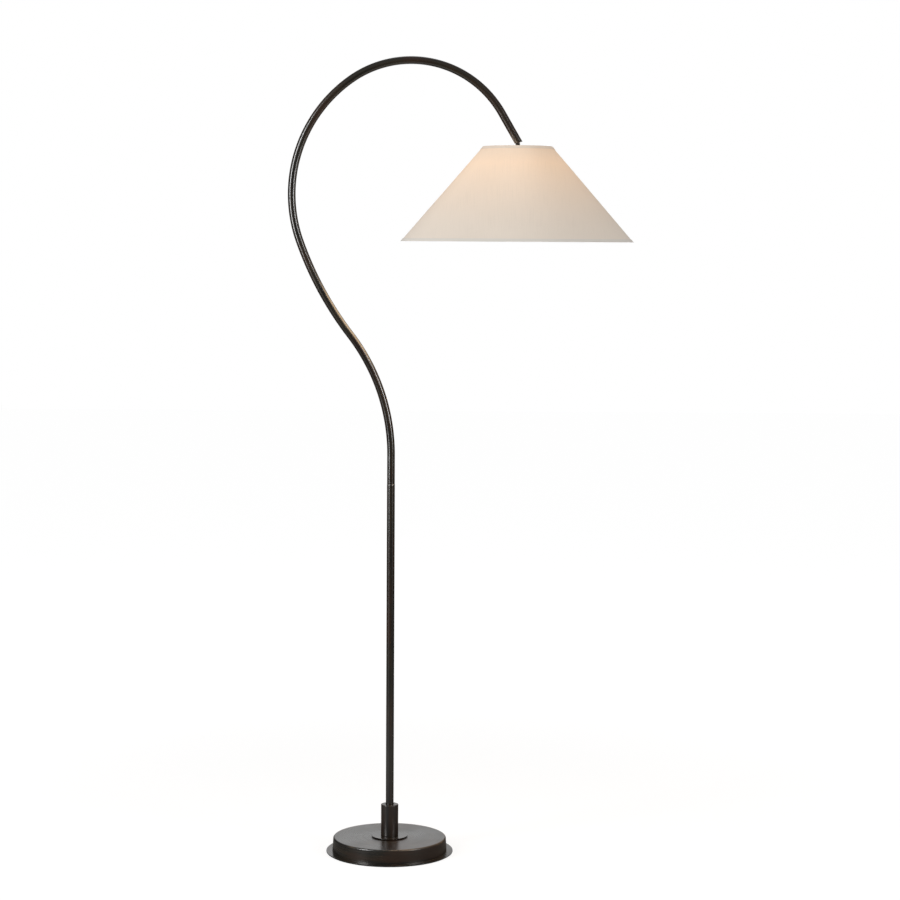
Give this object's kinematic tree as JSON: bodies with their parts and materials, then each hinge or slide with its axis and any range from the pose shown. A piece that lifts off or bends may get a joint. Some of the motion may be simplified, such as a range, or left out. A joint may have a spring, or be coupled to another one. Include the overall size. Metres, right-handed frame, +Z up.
{
  "type": "bridge floor lamp",
  "caption": "Floor lamp with a weighted round base, a straight stem, a swivelling S-shaped arm and a wide cone shade over a lampholder and bulb.",
  "frame": {"origin": "on the stem axis, on the floor under the felt pad", "axes": "+Z up along the stem; +X from the stem towards the shade at rest; +Y away from the viewer of the picture"},
  "size_m": [0.7556, 0.51, 1.7577],
  "materials": {
    "bronze": "aged dark bronze, hand-rubbed, satin",
    "cast_iron": "raw sand casting",
    "zinc": "zinc plated",
    "seam_steel": "bare turned steel",
    "brass": "turned, dull",
    "felt": "black felt",
    "rubber": "black, matte",
    "linen": "off-white linen on a stiff liner, lit from inside",
    "linen_tape": "off-white linen tape",
    "shade_wire": "white powder-coated wire",
    "holder_bronze": "dark bronze plate",
    "fibre": "insulating fibre",
    "phenolic": "black moulded resin",
    "bulb_cap": "rolled aluminium",
    "black_glass": "dark insulating glass",
    "solder": "tinned",
    "bulb_glass": "frosted white, lit"
  },
  "bodies": {
    "stand": {"foot_pad": "felt", "bottom_plate": "zinc", "plate_screws": "zinc", "base_weight": "cast_iron", "base_shell": "bronze", "cord_grommet": "rubber", "base_washer": "zinc", "base_lock_washer": "zinc", "base_nut": "zinc", "tie_tube": "zinc", "check_disc": "bronze", "collar": "bronze", "neck_washer": "zinc", "neck_nut": "zinc", "stem_foot_bush": "brass", "stem_tube": "bronze", "stem_top_bush": "brass", "swivel_ring": "seam_steel"},
    "arm": {"arm_spindle": "brass", "stop_pin": "zinc", "friction_washer": "zinc", "spindle_nut": "zinc", "arm_tube": "bronze", "tip_plug": "bronze", "tip_nipple": "bronze", "shade_lock_nut": "bronze", "shade_frame": "shade_wire", "shade_cover": "linen", "shade_top_hem": "linen_tape", "shade_bottom_hem": "linen_tape", "shade_bottom_ring": "shade_wire", "holder_lock_washer": "zinc", "holder_cap": "holder_bronze", "cap_set_screw": "zinc", "holder_shell": "holder_bronze", "holder_liner": "fibre", "holder_body": "phenolic", "terminal_screws": "brass", "screw_shell": "brass", "centre_contact": "brass", "switch_bush": "brass", "bulb_cap": "bulb_cap", "bulb_insulator": "black_glass", "bulb_contact": "solder", "bulb_globe": "bulb_glass"},
    "switch": {"switch_shaft": "zinc", "switch_knob": "phenolic"}
  },
  "joints": [
    {"name": "arm_swivel", "type": "hinge", "parent": "stand", "child": "arm", "pos_m": [0, 0, 0.823], "axis": [0, 0, 1], "range_deg": [-155, 155]},
    {"name": "switch_turn", "type": "hinge", "parent": "arm", "child": "switch", "pos_m": [0.2732, -0.03, 1.52233], "axis": [0, -1, 0], "continuous": true}
  ]
}
